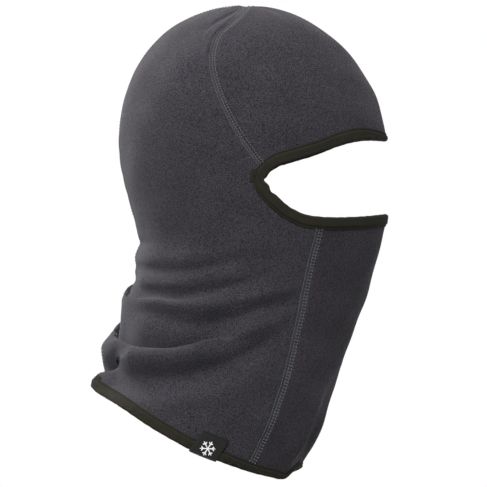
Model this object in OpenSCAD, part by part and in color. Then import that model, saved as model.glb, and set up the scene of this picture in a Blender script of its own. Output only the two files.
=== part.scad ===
// Fleece balaclava: four cut panels joined by flatlock seams, with a folded tape
// bound over the edge of the face opening and over the hem.
//
// Frame: +X is forward, +Y is the wearer's left, +Z is up. The origin is the middle
// of the head, level with the middle of the face opening. Millimetres.

/* [Hood] */
// Outer length of the hood, from the back of the head to the brow
head_length = 200; // [188:1:212]
// Outer width of the hood at its widest
head_width = 154; // [144:1:164]
// Height from the lowest point of the hem to the crown
hood_height = 355; // [335:1:375]
// Thickness of the fleece
fleece = 2.2; // [1.6:0.1:2.8]

/* [Binding] */
// Width of the folded tape round the face opening
face_tape_width = 7.8; // [6.5:0.1:9]
// Width of the folded tape round the hem
hem_tape_width = 7.3; // [6:0.1:8.5]
// Thickness of the tape
tape = 0.7; // [0.5:0.1:0.9]

/* [Seams] */
// Width of a flatlock seam, between its outer rows of stitches
seam_width = 5.4; // [4:0.1:6]
// Thickness of the sewing thread as it lies
thread = 0.3; // [0.2:0.05:0.4]

/* [Labels] */
// Length of the woven label along the hem
label_length = 21.4; // [14:0.2:24]
// Height of the woven label above the hem
label_height = 16.2; // [13:0.2:18]
// Width of the care label
care_width = 22; // [16:1:26]
// Length of the care label, below its stitched edge
care_length = 36; // [24:1:40]

/* [Hidden] */

fleece_colour = "dimgray";
tape_colour = "darkolivegreen";
thread_colour = "silver";
dark_thread_colour = "black";

// The tables below are drawn for a hood of this size, and the scales carry them over.
drawn_length = 200;
drawn_width = 154;
drawn_height = 355;
scale_x = head_length / drawn_length;
scale_y = head_width / drawn_width;
scale_z = hood_height / drawn_height;

// The crown: its height, how far behind the origin it lies, and the height, size
// and squareness of the three arcs that run down from it.
crown = 129;
crown_x = -4;
back_arc = [28, 96, 2.15];
front_arc = [20, 104, 1.97];
side_arc = [25, 77, 2.1];

// Outlines below those arcs as [height, distance], from the bottom up.
back_line = [[-260, -147], [-230, -141], [-190, -131], [-157, -120.5], [-130, -110.5], [-105, -100],
    [-80, -92], [-62, -87.5], [-46, -85.5], [-25, -90.5], [0, -97], [28, -100], [56, -97]];
front_line = [[-260, 20], [-230, 30], [-213, 38.5], [-200, 46.5], [-181, 55], [-151, 63.5], [-121, 73],
    [-92, 84], [-62, 93], [-31, 100], [-5, 101], [20, 100], [45, 101]];
half_width = [[-260, 75], [-230, 74], [-190, 73], [-157, 71.5], [-121, 69], [-92, 68],
    [-62, 69.5], [-31, 73], [0, 76], [25, 77], [50, 76]];
// How much narrower the front of a level is than its back
egg = 0.1;

// Seams and edges as [angle round the head from the front, height].
forehead_seam = [[90, 128.99], [88, 127.3], [95.5, 122.5], [102, 115.5], [109, 107], [110, 95.5],
    [108.8, 82.5], [105.8, 69], [102.5, 55.5], [98.7, 42], [94.5, 29], [90, 17], [85, 4]];
opening_rear = [[85, 4], [86.7, -3], [84.5, -11], [79.5, -20], [75, -25.2], [69.5, -29], [62.2, -30.7]];
chin_seam = [[62.2, -30.7], [62.7, -45], [63.3, -62], [62, -85], [59.3, -108], [56.5, -132],
    [55.6, -154], [56.5, -174], [57, -190], [57, -205], [57.3, -217]];
brow_edge = [[-15, 29.5], [0, 29], [15, 29.5], [29, 30], [40, 28.8], [50, 25.5], [62, 19], [73, 13.8],
    [80, 10], [85, 4]];
lip_edge = [[-14, -29.2], [0, -28.8], [14, -29.2], [30, -30.2], [50, -31.2], [62.2, -30.7]];
hem_edge = [[-10, -216.8], [0, -216], [10, -216.8], [20, -219.8], [28, -223.6], [41, -221.6], [57.3, -217],
    [79, -207.3], [91.5, -200.5], [101, -193.8], [112, -185.8], [122, -178.4], [133, -170.7],
    [145, -164.4], [165, -158.8], [180, -157.4], [195, -158.8]];
// Heights on the back seam level with the two ends of the opening's rear edge
back_at_brow = 22;
back_at_lip = -32;

// Clearances: half the gap between two cut edges, then between a layer and the fleece
// under it, outside and inside the hood, then between two layers of tape or thread
edge_gap = 0.15;
outer_gap = 0.3;
inner_gap = 0.7;
layer_gap = 0.18;
// Rows and columns of the panels' grids, and steps round the hem
dome_rows = 14;
rear_rows = 5;
neck_rows = 13;
side_columns = 19;
front_columns = 24;
hem_steps = 72;

// ---- interpolation -------------------------------------------------------

function mix(a, b, t) = a + (b - a) * t;
function hermite(p0, p1, m0, m1, s) =
    (2 * s ^ 3 - 3 * s ^ 2 + 1) * p0 + (s ^ 3 - 2 * s ^ 2 + s) * m0
    + (3 * s ^ 2 - 2 * s ^ 3) * p1 + (s ^ 3 - s ^ 2) * m1;
function span_of(t, key, i = 0) = i >= len(t) - 2 || key < t[i + 1][0] ? i : span_of(t, key, i + 1);
function rise(t, k) =
    let (a = t[max(k - 1, 0)], b = t[min(k + 1, len(t) - 1)])
    (b[1] - a[1]) / (b[0] - a[0]);
// The value of a table of [key, value] rows at any key, as one smooth line
function smooth(t, key) =
    let (i = span_of(t, key), h = t[i + 1][0] - t[i][0])
    hermite(t[i][1], t[i + 1][1], h * rise(t, i), h * rise(t, i + 1), (key - t[i][0]) / h);
// The point a share u of the way along a smooth curve through the points p
function along(p, u) =
    let (n = len(p) - 1, i = min(floor(u * n), n - 1), s = u * n - i)
    hermite(p[i], p[i + 1], (p[i + 1] - p[max(i - 1, 0)]) / (i > 0 ? 2 : 1),
        (p[min(i + 2, n)] - p[i]) / (i < n - 1 ? 2 : 1), s);
// The share along a curve of falling height at which it reaches a height
function reach(p, height, low = 0, high = 1, turns = 18) =
    turns == 0 ? (low + high) / 2 :
    let (mid = (low + high) / 2)
    along(p, mid)[1] > height
        ? reach(p, height, mid, high, turns - 1)
        : reach(p, height, low, mid, turns - 1);

// ---- the hood's outer skin, by angle and height ----------------------------

function arc_at(arc, z) = arc[1] * max(0, 1 - ((z - arc[0]) / (crown - arc[0])) ^ arc[2]) ^ (1 / arc[2]);
function back_x(z) = z > back_arc[0] ? crown_x - arc_at(back_arc, z) : smooth(back_line, z);
function front_x(z) = z > front_arc[0] ? crown_x + arc_at(front_arc, z) : smooth(front_line, z);
function side_y(z) = z > side_arc[0] ? arc_at(side_arc, z) : smooth(half_width, z);
function hood(angle, z) =
    let (b = back_x(z), f = front_x(z))
    [scale_x * ((b + f) / 2 + (f - b) / 2 * cos(angle)),
        scale_y * side_y(z) * sin(angle) * (1 - egg * cos(angle)), scale_z * z];
function normal(angle, z) =
    let (dz = min(0.4, (crown - z) / 2),
        n = cross(hood(angle + 0.5, z) - hood(angle - 0.5, z), hood(angle, z + dz) - hood(angle, z - dz)))
    n / norm(n);
// A point off the skin: at is [angle, height], and out is how far outside it
function off(at, out) = hood(at[0], at[1]) + out * normal(at[0], at[1]);
// The [angle, height] of the point of the skin level with a point near it
function chart(p) =
    let (z = p[2] / scale_z, b = back_x(z), f = front_x(z),
        c = (p[0] / scale_x - (b + f) / 2) / ((f - b) / 2))
    [atan2(p[1] / scale_y / side_y(z) / (1 - egg * max(-1, min(1, c))), c), z];
// The point a distance across a path on the skin, and out from it. path is [previous, here, next].
function across(path, side, out) =
    let (run = hood(path[2][0], path[2][1]) - hood(path[0][0], path[0][1]),
        up = normal(path[1][0], path[1][1]), over = cross(run, up))
    off(chart(hood(path[1][0], path[1][1]) + side * over / norm(over)), out);

// ---- solids from rows of points -------------------------------------------

function flat(rows) = [for (row = rows) each row];
function two_triangles(a, b, c, d) = [[a, b, c], [a, c, d]];

// A closed skin round rings of points, where point i of a ring faces point n - 1 - i across its thickness.
// The first and last rings are capped, or joined if looped.
module skin(rings, looped = false) {
    n = len(rings[0]);
    last = len(rings) - 1;
    sides = [for (j = [0:looped ? last : last - 1], i = [0:n - 1])
        let (k = (j + 1) % (last + 1), m = (i + 1) % n)
        each two_triangles(j * n + i, j * n + m, k * n + m, k * n + i)];
    end = last * n;
    caps = looped ? [] : [for (i = [0:n / 2 - 2]) each concat(
        two_triangles(i + 1, i, n - 1 - i, n - 2 - i),
        two_triangles(end + i, end + i + 1, end + n - 2 - i, end + n - 1 - i))];
    polyhedron(flat(rings), concat(sides, caps));
}

// A sheet of fleece: a grid of [angle, height] points, given its thickness inwards.
module panel(grid) {
    rows = len(grid);
    n = len(grid[0]);
    count = rows * n;
    outer = [for (row = grid, at = row) off(at, 0)];
    inner = [for (row = grid, at = row) off(at, -fleece)];
    faces = [for (j = [0:rows - 2], i = [0:n - 2])
        let (a = j * n + i, b = a + 1, c = a + n + 1, d = a + n)
        each concat(two_triangles(a, b, c, d), two_triangles(count + d, count + c, count + b, count + a))];
    ends = [for (i = [0:n - 2])
        let (low = count - n + i)
        each concat(two_triangles(i + 1, i, count + i, count + i + 1),
            two_triangles(low, low + 1, count + low + 1, count + low))];
    edges = [for (j = [0:rows - 2])
        let (a = j * n, b = a + n - 1)
        each concat(two_triangles(a, a + n, count + a + n, count + a),
            two_triangles(b + n, b, count + b, count + b + n))];
    polyhedron(concat(outer, inner), concat(faces, ends, edges));
}

module left_copy() { mirror([0, 1, 0]) children(); }

// ---- fleece panels ---------------------------------------------------------

// Height a share u down from the crown, in even steps of arc
function dome_height(u, foot) = crown - 0.02 - (crown - 0.02 - foot) * (1 - cos(85 * u)) / (1 - cos(85));
function seam_at(u) = along(forehead_seam, reach(forehead_seam, dome_height(u, forehead_seam[12][1])));
function chin_at(u) = along(chin_seam, reach(chin_seam, mix(chin_seam[0][1], chin_seam[10][1], u)));
// Angle that clears a piece's edge from its neighbour
function clear_of(z) = edge_gap / (side_y(z) * 0.0175 + 0.02);

// Rows of a side panel as [angle of its front edge, height there, height at the back seam,
// share down the neck]
side_rows = concat(
    [for (j = [0:dome_rows - 1]) let (u = j / dome_rows, s = seam_at(u))
        [s[0], s[1], dome_height(u, back_at_brow), 0]],
    [for (j = [0:rear_rows - 1]) let (u = j / rear_rows, s = along(opening_rear, u))
        [s[0], s[1], mix(back_at_brow, back_at_lip, u), 0]],
    [for (j = [0:neck_rows]) let (u = j / neck_rows, s = chin_at(u))
        [s[0], s[1], mix(back_at_lip, smooth(hem_edge, 180), u), u]]);

module side_panel() {
    color(fleece_colour) panel([for (row = side_rows) [for (i = [side_columns:-1:0])
        let (t = i / side_columns, gap = clear_of(row[1]), last = side_rows[len(side_rows) - 1],
            droop = smooth(hem_edge, mix(last[0], 180, t)) - mix(last[1], last[2], t))
        [-mix(row[0] + gap, 180 - gap, t), mix(row[1], row[2], t) + droop * row[3] ^ 3]]]);
}
module side_panel_right() { side_panel(); }
module side_panel_left() { left_copy() side_panel(); }

// Height across the front by v, from -1 at the right seam to 1 at the left one, for a given middle and end
function sag(middle, end, v) = mix(middle, end, v ^ 2);
// How far an edge lies above that, where the edge's own end is at its table's last row
function above_sag(edge, v) =
    let (end = edge[len(edge) - 1])
    smooth(edge, abs(v) * end[0]) - sag(smooth(edge, 0), end[1], v);
hem_front = [for (p = hem_edge) if (p[0] <= chin_seam[10][0]) p];

module forehead_panel() {
    color(fleece_colour) panel([for (j = [0:dome_rows])
        let (u = j / dome_rows, s = seam_at(u), middle = dome_height(u, smooth(brow_edge, 0)))
        [for (i = [0:front_columns])
            let (v = 2 * i / front_columns - 1)
            [v * (s[0] - clear_of(s[1])), sag(middle, s[1], v) + above_sag(brow_edge, v) * u ^ 3]]]);
}

module face_panel() {
    color(fleece_colour) panel([for (j = [0:neck_rows])
        let (u = j / neck_rows, s = chin_at(u), middle = mix(smooth(lip_edge, 0), smooth(hem_edge, 0), u))
        [for (i = [0:front_columns])
            let (v = 2 * i / front_columns - 1)
            [v * (s[0] - clear_of(s[1])),
                sag(middle, s[1], v) + above_sag(lip_edge, v) * (1 - u) ^ 3
                    + above_sag(hem_front, v) * u ^ 3]]]);
}

// ---- edges and the tape folded over them ------------------------------------

// The face opening's edge once round from the front: down one side, along the lip and up the other
opening_half = concat([for (i = [1:len(brow_edge) - 1]) brow_edge[i]],
    [for (i = [1:len(opening_rear) - 2]) opening_rear[i]],
    [for (i = [len(lip_edge) - 1:-1:2]) lip_edge[i]]);
opening_loop = concat(opening_half, [lip_edge[1]],
    [for (i = [len(opening_half) - 1:-1:1]) [-opening_half[i][0], opening_half[i][1]]]);
opening_steps = 2 * len(opening_loop);
// The point a share u of the way round a closed smooth curve through the points p
function wrapped(p, u) =
    let (n = len(p), i = floor(u * n), a = p[i % n], b = p[(i + 1) % n])
    hermite(a, b, (b - p[(i + n - 1) % n]) / 2, (p[(i + 2) % n] - a) / 2, u * n - i);
function opening_path(k) = [for (d = [-0.3, 0, 0.3])
    let (at = wrapped(opening_loop, ((k + d) / opening_steps + 1) % 1)) [-at[0], at[1]]];
function hem_path(angle) = [for (d = [1, 0, -1]) [angle + d, smooth(hem_edge, abs(angle + d))]];
face_paths = [for (k = [0:opening_steps - 1]) opening_path(k)];
hem_paths = [for (k = [0:hem_steps - 1]) hem_path(180 - k * 360 / hem_steps)];

// How far past the fleece's edge a folded tape turns
edge_turn = 0.9;
// Section of a tape folded over an edge as [distance on to the fleece, height off the fleece's outer face].
// lift is the thickness of what it lies over.
function fold_section(width, lift, thick) =
    let (top = outer_gap + lift, low = -fleece - inner_gap - lift, mid = (top + low) / 2,
        turn = edge_turn + lift, corner = turn * 0.7, shoulder = (top - low) * 0.12,
        far_corner = corner + thick * 0.8, far_shoulder = shoulder - thick * 0.6)
    [[width, top + thick], [0, top + thick], [-far_corner, top - far_shoulder], [-turn - thick, mid],
        [-far_corner, low + far_shoulder], [0, low - thick], [width, low - thick],
        [width, low], [0, low], [-corner, low + shoulder], [-turn, mid],
        [-corner, top - shoulder], [0, top], [width, top]];

module swept(paths, section, looped = false) {
    skin([for (path = paths) [for (s = section) across(path, s[0], s[1])]], looped);
}

// A flat strip along a path, at a place across it and a height off the fleece
module strip(paths, place, width, height, thick, looped = false) {
    near = place - width / 2;
    far = place + width / 2;
    swept(paths, [[far, height + thick], [near, height + thick], [near, height], [far, height]], looped);
}

module face_binding() {
    color(tape_colour) swept(face_paths, fold_section(face_tape_width, 0, tape), true);
}
module hem_binding() {
    color(tape_colour) swept(hem_paths, fold_section(hem_tape_width, 0, tape), true);
}

// Tapes are joined where their ends lap, and the lap's tail shows as a short patch past the tape's edge.
join_tail = 2.6;
join_rings = [-1:1];
// Share of the way round the opening at which its tape's ends meet, behind the right corner
face_join_share = 0.24;
face_join_step = floor(opening_steps * face_join_share);
hem_join_angle = -172;
hem_join_degrees = 3;
module tape_join(paths, tape_width) {
    color(tape_colour) strip(paths, tape_width + outer_gap + join_tail / 2, join_tail, outer_gap, tape);
}
module face_binding_join() {
    tape_join([for (k = join_rings) opening_path(face_join_step + k)], face_tape_width);
}
module hem_binding_join() {
    tape_join([for (k = join_rings) hem_path(hem_join_angle - k * hem_join_degrees)], hem_tape_width);
}

// ---- stitching --------------------------------------------------------------

topstitch_inset = 1.3;
topstitch_width = 0.5;
over_tape = outer_gap + tape + layer_gap;
under_tape = -fleece - inner_gap - tape - layer_gap - thread;

module topstitch(paths, tape_width, height) {
    color(dark_thread_colour)
        strip(paths, tape_width - topstitch_inset, topstitch_width, height, thread, true);
}
module face_binding_topstitch() { topstitch(face_paths, face_tape_width, over_tape); }
module face_binding_underthread() { topstitch(face_paths, face_tape_width, under_tape); }
module hem_binding_topstitch() { topstitch(hem_paths, hem_tape_width, over_tape); }
module hem_binding_underthread() { topstitch(hem_paths, hem_tape_width, under_tape); }

// A flatlock seam is three layers of thread: rows of needle stitches, over a cover
// thread that crosses between them, and a looper thread that crosses inside the hood.
row_width = 0.6;
needle_out = outer_gap + thread + layer_gap;
looper_out = -fleece - inner_gap - thread;
needle_rows = [-(seam_width - row_width) / 2, 0, (seam_width - row_width) / 2];

module needle_threads(paths) {
    color(thread_colour) for (place = needle_rows) strip(paths, place, row_width, needle_out, thread);
}
module cover_thread(paths) { color(thread_colour) strip(paths, 0, seam_width, outer_gap, thread); }
module looper_thread(paths) { color(thread_colour) strip(paths, 0, seam_width, looper_out, thread); }

seam_steps = 30;
seam_step = 0.004;
// The forehead seam is one run from the left corner of the opening over the crown to the right corner.
// u is -1 at the left corner and 1 at the right, and the run steps over the crown's own point.
crown_clear = 0.016;
forehead_stop = 0.935;
function over_crown(u) = let (at = along(forehead_seam, abs(u))) [u < 0 ? at[0] : -at[0], at[1]];
forehead_run = [for (k = [0:seam_steps]) mix(crown_clear, forehead_stop, k / seam_steps)];
forehead_paths = [for (u = concat([for (k = [seam_steps:-1:0]) -forehead_run[k]], forehead_run))
    [for (d = [-seam_step, 0, seam_step]) over_crown(u + d)]];
module forehead_seam_needle_threads() { needle_threads(forehead_paths); }
module forehead_seam_cover_thread() { cover_thread(forehead_paths); }
module forehead_seam_looper_thread() { looper_thread(forehead_paths); }

// The chin seams run from the lip of the opening to the hem, clear of both tapes.
chin_start = 0.075;
chin_stop = 0.91;
chin_paths = [for (k = [0:seam_steps])
    let (u = mix(chin_start, chin_stop, k / seam_steps))
    [for (d = [-seam_step, 0, seam_step]) let (at = along(chin_seam, u + d)) [-at[0], at[1]]]];
module chin_seam_right_needle_threads() { needle_threads(chin_paths); }
module chin_seam_right_cover_thread() { cover_thread(chin_paths); }
module chin_seam_right_looper_thread() { looper_thread(chin_paths); }
module chin_seam_left_needle_threads() { left_copy() chin_seam_right_needle_threads(); }
module chin_seam_left_cover_thread() { left_copy() chin_seam_right_cover_thread(); }
module chin_seam_left_looper_thread() { left_copy() chin_seam_right_looper_thread(); }

// The back seam runs from the forehead seam at the crown down the back to the hem.
back_start = 0.016;
back_stop = 0.965;
function back_height(u) = u < 0.5
    ? dome_height(u * 2, back_at_brow)
    : mix(back_at_brow, smooth(hem_edge, 180), u * 2 - 1);
back_paths = [for (k = [0:seam_steps])
    let (u = mix(back_start, back_stop, k / seam_steps))
    [for (d = [-seam_step, 0, seam_step]) [180, back_height(u + d)]]];
module back_seam_needle_threads() { needle_threads(back_paths); }
module back_seam_cover_thread() { cover_thread(back_paths); }
module back_seam_looper_thread() { looper_thread(back_paths); }

// ---- labels -----------------------------------------------------------------

// The woven label is folded over the hem's tape, low on the right side.
label_angle = 83.5;
label_rings = 8;
label_lift = tape + thread + 2 * layer_gap;
label_thick = 0.45;
label_outside = outer_gap + label_lift + label_thick + layer_gap;
label_inside = -fleece - inner_gap - label_lift - label_thick - layer_gap - thread;
stitch_inset = 1;
// Length of hem to one degree round the hood, there
degree_length = 1.42;
function label_paths(length) = [for (k = [0:label_rings])
    hem_path(-label_angle + (0.5 - k / label_rings) * length / degree_length)];

module woven_label() {
    color("black") swept(label_paths(label_length), fold_section(label_height, label_lift, label_thick));
}

module label_stitches() {
    color(dark_thread_colour)
        for (height = [label_outside, label_inside])
            strip(label_paths(label_length - 2 * stitch_inset), label_height - stitch_inset,
                topstitch_width, height, thread);
}

// A plain six-armed snowflake, sewn on the label's face
emblem_size = 12;
emblem_line = 0.8;
emblem_thick = 0.25;
emblem_place = 4.4;
module label_emblem() {
    path = hem_path(-label_angle);
    centre = across(path, emblem_place, label_outside + layer_gap);
    z = normal(path[1][0], path[1][1]);
    up = across(path, emblem_place + 2, label_outside + layer_gap) - centre;
    x = cross(up, z) / norm(cross(up, z));
    y = cross(z, x);
    color("white") multmatrix([for (i = [0:2]) [x[i], y[i], z[i], centre[i]]])
        linear_extrude(emblem_thick) snowflake();
}

module snowflake() {
    arm = emblem_size / 2;
    for (turn = [0:60:300]) rotate(turn) {
        translate([0, -emblem_line / 2]) square([arm, emblem_line]);
        for (lean = [-55, 55]) translate([arm * 0.6, 0]) rotate(lean)
            translate([0, -emblem_line / 2]) square([arm * 0.32, emblem_line]);
    }
}

// The care label hangs inside the nape from its top edge, where a tie sews it to the back seam.
care_x = -90.2;
care_top = -92;
care_thick = 0.4;
care_tie_inset = 5;
care_tie_reach = 4.5;
care_tie_height = 3;
care_tie_gap = 0.4;
module care_label() {
    color("white") translate([scale_x * care_x, 0, scale_z * care_top - care_length / 2])
        cube([care_thick, care_width, care_length], center = true);
}

module care_label_stitches() {
    seam_x = off([180 - care_tie_reach, care_top + care_tie_gap + care_tie_height],
        looper_out - layer_gap)[0];
    end_x = scale_x * care_x + care_thick / 2;
    color("white") translate([seam_x, -care_width / 2 + care_tie_inset, scale_z * care_top + care_tie_gap])
        cube([end_x - seam_x, care_width - 2 * care_tie_inset, care_tie_height]);
}

side_panel_right();
side_panel_left();
forehead_panel();
face_panel();
face_binding();
face_binding_join();
hem_binding();
hem_binding_join();
face_binding_topstitch();
face_binding_underthread();
hem_binding_topstitch();
hem_binding_underthread();
forehead_seam_needle_threads();
forehead_seam_cover_thread();
forehead_seam_looper_thread();
chin_seam_right_needle_threads();
chin_seam_right_cover_thread();
chin_seam_right_looper_thread();
chin_seam_left_needle_threads();
chin_seam_left_cover_thread();
chin_seam_left_looper_thread();
back_seam_needle_threads();
back_seam_cover_thread();
back_seam_looper_thread();
woven_label();
label_emblem();
label_stitches();
care_label();
care_label_stitches();
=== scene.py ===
import math

import bpy
import numpy as np
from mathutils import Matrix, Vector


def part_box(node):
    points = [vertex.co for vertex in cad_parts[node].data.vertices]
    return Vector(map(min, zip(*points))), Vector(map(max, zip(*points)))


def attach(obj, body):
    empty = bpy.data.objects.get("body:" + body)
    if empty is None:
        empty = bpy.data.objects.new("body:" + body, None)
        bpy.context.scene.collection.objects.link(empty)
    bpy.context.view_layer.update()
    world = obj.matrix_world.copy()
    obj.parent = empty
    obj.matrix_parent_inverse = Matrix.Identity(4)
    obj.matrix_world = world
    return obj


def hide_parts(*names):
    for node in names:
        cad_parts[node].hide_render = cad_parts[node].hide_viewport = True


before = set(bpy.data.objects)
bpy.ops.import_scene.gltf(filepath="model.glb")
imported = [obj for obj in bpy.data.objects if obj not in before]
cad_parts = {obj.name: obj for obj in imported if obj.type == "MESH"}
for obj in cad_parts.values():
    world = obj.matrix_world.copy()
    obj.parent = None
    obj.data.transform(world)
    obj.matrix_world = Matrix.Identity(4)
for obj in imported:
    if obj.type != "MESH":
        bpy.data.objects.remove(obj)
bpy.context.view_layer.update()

# Shapes are in millimetres, and turned into metres when a mesh is made.
MM = 0.001

# ---- the hood's form, from the same outlines as the CAD part ----

SIDE_LOW, SIDE_HIGH = (np.array(corner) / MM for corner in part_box("side_panel_right"))
# How far back, out and up the side panel reaches as these outlines draw it
DRAWN_BACK, DRAWN_HALF_WIDTH, DRAWN_TOP = -120.64, -77.3, 128.98
SCALE = np.array([SIDE_LOW[0] / DRAWN_BACK, SIDE_LOW[1] / DRAWN_HALF_WIDTH, SIDE_HIGH[2] / DRAWN_TOP])

CROWN = 129.0
CROWN_X = -4.0
# Arcs down from the crown as (lowest height, reach, squareness)
BACK_ARC = (28, 96, 2.15)
FRONT_ARC = (20, 104, 1.97)
SIDE_ARC = (25, 77, 2.1)
# Outlines below the arcs as (height, distance)
BACK_LINE = [(-260, -147), (-230, -141), (-190, -131), (-157, -120.5), (-130, -110.5), (-105, -100),
             (-80, -92), (-62, -87.5), (-46, -85.5), (-25, -90.5), (0, -97), (28, -100), (56, -97)]
FRONT_LINE = [(-260, 20), (-230, 30), (-213, 38.5), (-200, 46.5), (-181, 55), (-151, 63.5), (-121, 73),
              (-92, 84), (-62, 93), (-31, 100), (-5, 101), (20, 100), (45, 101)]
HALF_WIDTH = [(-260, 75), (-230, 74), (-190, 73), (-157, 71.5), (-121, 69), (-92, 68), (-62, 69.5),
              (-31, 73), (0, 76), (25, 77), (50, 76)]
# Share by which a section is wider towards its back and narrower towards its front
EGG = 0.1
# Seams and edges as (degrees round the head from the front, height)
FOREHEAD_SEAM = [(90, 128.999), (88, 127.3), (95.5, 122.5), (102, 115.5), (109, 107), (110, 95.5),
                 (108.8, 82.5), (105.8, 69), (102.5, 55.5), (98.7, 42), (94.5, 29), (90, 17), (85, 4)]
OPENING_REAR = [(85, 4), (86.7, -3), (84.5, -11), (79.5, -20), (75, -25.2), (69.5, -29), (62.2, -30.7)]
CHIN_SEAM = [(62.2, -30.7), (62.7, -45), (63.3, -62), (62, -85), (59.3, -108), (56.5, -132),
             (55.6, -154), (56.5, -174), (57, -190), (57, -205), (57.3, -217)]
BROW_EDGE = [(-15, 29.5), (0, 29), (15, 29.5), (29, 30), (40, 28.8), (50, 25.5), (62, 19), (73, 13.8),
             (80, 10), (85, 4)]
LIP_EDGE = [(-14, -29.2), (0, -28.8), (14, -29.2), (30, -30.2), (50, -31.2), (62.2, -30.7)]
HEM_EDGE = [(-10, -216.8), (0, -216), (10, -216.8), (20, -219.8), (28, -223.6), (41, -221.6), (57.3, -217),
            (79, -207.3), (91.5, -200.5), (101, -193.8), (112, -185.8), (122, -178.4), (133, -170.7),
            (145, -164.4), (165, -158.8), (180, -157.4), (195, -158.8)]
# Where a side panel's rows from the two ends of the opening's rear edge reach the back seam
BACK_AT_BROW = 22
BACK_AT_LIP = -32

FLEECE = 2.2
TAPE = 0.7


def mix(a, b, t):
    return a + (b - a) * t


def unit(v):
    return v / np.maximum(np.linalg.norm(v, axis=-1, keepdims=True), 1e-12)


def hermite(p0, p1, m0, m1, s):
    return ((2 * s ** 3 - 3 * s ** 2 + 1) * p0 + (s ** 3 - 2 * s ** 2 + s) * m0
            + (3 * s ** 2 - 2 * s ** 3) * p1 + (s ** 3 - s ** 2) * m1)


def smooth(table, key):
    """The value of a table of (key, value) rows at any keys, as one smooth line."""
    keys, values = np.array(table, float).T
    slope = np.gradient(values) / np.gradient(keys)
    i = np.clip(np.searchsorted(keys, key, side="right") - 1, 0, len(keys) - 2)
    h = keys[i + 1] - keys[i]
    return hermite(values[i], values[i + 1], h * slope[i], h * slope[i + 1], (key - keys[i]) / h)


def within(table, key):
    """As smooth, but level beyond the table's ends."""
    return smooth(table, np.clip(key, table[0][0], table[-1][0]))


def along(points, u):
    """The point a share u of the way along a smooth curve through the points."""
    p = np.array(points, float)
    slope = np.gradient(p, axis=0)
    i = np.clip(np.floor(u * (len(p) - 1)).astype(int), 0, len(p) - 2)
    s = (u * (len(p) - 1) - i)[..., None]
    return hermite(p[i], p[i + 1], slope[i], slope[i + 1], s)


def wrapped(points, u):
    """The same on a closed curve."""
    p = np.array(points, float)
    slope = (np.roll(p, -1, 0) - np.roll(p, 1, 0)) / 2
    i = np.floor(u * len(p)).astype(int) % len(p)
    k = (i + 1) % len(p)
    return hermite(p[i], p[k], slope[i], slope[k], ((u * len(p)) % 1)[..., None])


SHARES = np.linspace(0, 1, 1501)


def at_height(points, z):
    """The point where a falling curve reaches each height."""
    curve = along(points, SHARES)
    u = np.interp(-z, -curve[:, 1], SHARES)
    return along(points, u)


def arc(form, z):
    foot, size, power = form
    return size * np.maximum(0, 1 - (np.maximum(z - foot, 0) / (CROWN - foot)) ** power) ** (1 / power)


def back_x(z):
    return np.where(z > BACK_ARC[0], CROWN_X - arc(BACK_ARC, z), smooth(BACK_LINE, z))


def front_x(z):
    return np.where(z > FRONT_ARC[0], CROWN_X + arc(FRONT_ARC, z), smooth(FRONT_LINE, z))


def side_y(z):
    return np.where(z > SIDE_ARC[0], arc(SIDE_ARC, z), smooth(HALF_WIDTH, z))


def hood(angle, z):
    """A point of the plain hood by degrees from the front and height."""
    turn = np.radians(angle)
    b, f = back_x(z), front_x(z)
    x = (b + f) / 2 + (f - b) / 2 * np.cos(turn)
    y = side_y(z) * np.sin(turn) * (1 - EGG * np.cos(turn))
    return np.stack([x, y, z + 0 * x], -1) * SCALE


# ---- how the fleece lies off that form ----

# Folds that roll over the fleece below them. Each has its line round the nape as (degrees from the
# back seam, height), how strong it is round the nape, and by depth below the line how far the fleece
# is lifted and pushed out. Degrees are positive on the wearer's right.
ROLLS = [
    dict(line=[(-60, -66), (-40, -70), (-25, -75), (0, -85.5), (15, -87.5), (30, -86.5), (42, -86), (54, -87),
               (66, -86), (77, -82), (90, -76)],
         strength=[(-100, 0), (-50, .5), (-25, .8), (0, .9), (15, .8), (30, .45), (45, .3), (66, .2),
                   (85, 0)],
         lift=[(-12, 0), (-4, -.5), (0, -2.5), (3, -1), (5.5, 4), (8, 7.2), (11, 7.5), (17, 6),
               (24, 2.5), (30, 0)],
         out=[(-12, 0), (-10, -1), (-4, -2.8), (0, -3.5), (3, -2), (5.5, .3), (8, 2.2), (11, 3), (17, 1.8),
              (26, 0), (30, 0)]),
    dict(line=[(-60, -97), (-45, -99), (-25, -104), (0, -115.5), (26, -121.5), (38.5, -124.8), (53, -126),
               (63, -125), (71, -121.5), (78, -117), (85, -114.5), (92, -115.5)],
         strength=[(-100, 0), (-60, .6), (-25, 1), (53, 1), (71, .8), (85, .45), (95, .1), (105, 0)],
         lift=[(-14, 0), (-6, -1), (-1, -4), (2.5, -5), (6, 1), (9, 8.7), (12, 11), (14.5, 11.2), (18, 10.4),
               (22, 8.4), (27, 5.5), (33, 2.5), (40, 0)],
         out=[(-18, 0), (-12, -1.5), (-6, -4.5), (-1, -8), (2.5, -9), (6, -5), (9, -.8), (12, 2), (14.5, 3.8),
              (18, 4.8), (22, 3.6), (27, .6), (33, -.6), (40, 0)]),
    dict(line=[(-40, -155), (0, -146.5), (10, -145.5), (18, -143.5), (26, -140.5), (40, -140)],
         strength=[(-45, 0), (-30, .6), (-12, .7), (0, .7), (9, 1), (20, 1), (30, .6), (40, 0)],
         lift=[(-8, 0), (-2, -1.5), (1, -2), (3.5, 1), (5.5, 5.3), (7.5, 6), (13, 0)],
         out=[(-9, 0), (-5, -2.5), (-1.5, -7), (1.2, -9), (3.5, -6.5), (5.5, -2.5), (8, .6), (13, 0)]),
]
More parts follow.
